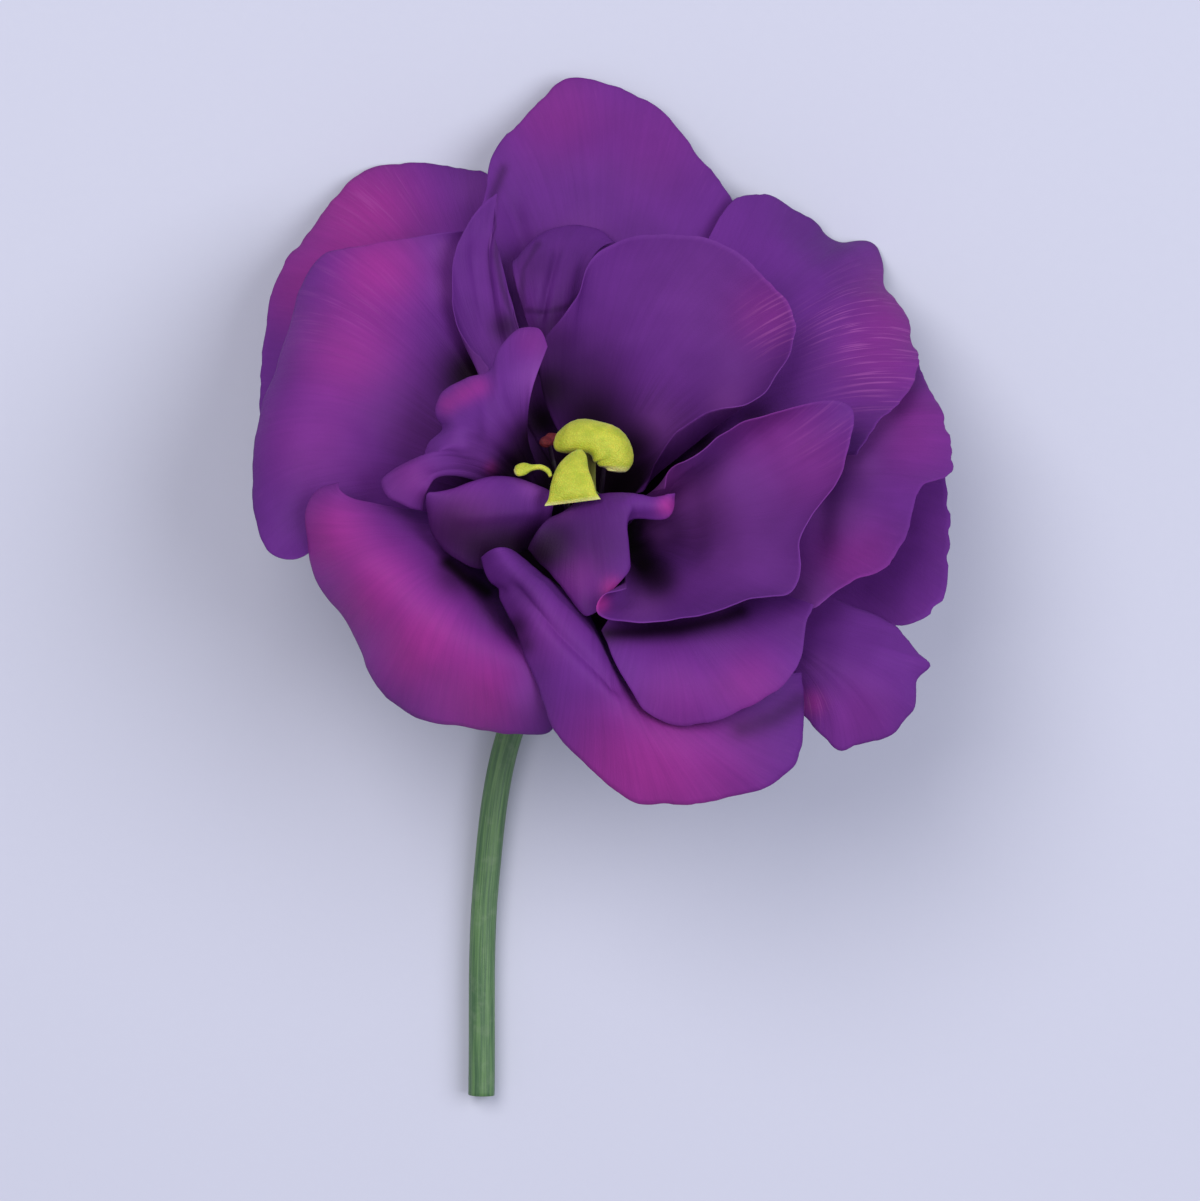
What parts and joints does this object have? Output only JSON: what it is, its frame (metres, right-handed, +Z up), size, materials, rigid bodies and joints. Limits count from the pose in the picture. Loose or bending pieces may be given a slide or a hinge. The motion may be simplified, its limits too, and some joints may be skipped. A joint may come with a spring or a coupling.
{
  "type": "lisianthus flower",
  "caption": "Double lisianthus blossom with ruffled violet petals, green-yellow stigma, calyx and a short cut stalk, lying on its back.",
  "frame": {"origin": "on the surface that the bloom lies on, under the middle of its bounding box", "axes": "+Z up, the bloom faces up and leans towards +Y; the stalk lies towards -Y; +X is to the right as seen from above with the stalk at the bottom"},
  "size_m": [0.0792, 0.118, 0.0472],
  "materials": {
    "petal": "satin",
    "sepal": "matte",
    "receptacle": "matte",
    "pedicel": "satin",
    "ovary": "matte",
    "style": "matte",
    "stigma": "matte",
    "filament": "matte",
    "anther": "matte"
  },
  "bodies": {
    "root": {"petal_top": "petal", "petal_upper_left": "petal", "petal_left": "petal", "petal_fold": "petal", "petal_inner_top": "petal", "petal_upper_right": "petal", "petal_inner_right": "petal", "petal_right": "petal", "petal_lower_right_back": "petal", "petal_lower_right": "petal", "petal_inner_lower_right": "petal", "petal_bottom": "petal", "petal_lower_left": "petal", "petal_inner_left": "petal", "petal_flap": "petal", "petal_inner_bottom": "petal", "petaloid_pocket": "petal", "receptacle": "receptacle", "sepal_1": "sepal", "sepal_2": "sepal", "sepal_3": "sepal", "sepal_4": "sepal", "sepal_5": "sepal", "ovary": "ovary", "style": "style", "stigma_upper": "stigma", "stigma_lower": "stigma", "stigma_curl": "stigma", "filament_1": "filament", "anther_1": "anther", "filament_2": "filament", "anther_2": "anther", "filament_3": "filament", "anther_3": "anther", "filament_4": "filament", "anther_4": "anther", "filament_5": "filament", "anther_5": "anther", "pedicel": "pedicel"}
  },
  "joints": []
}
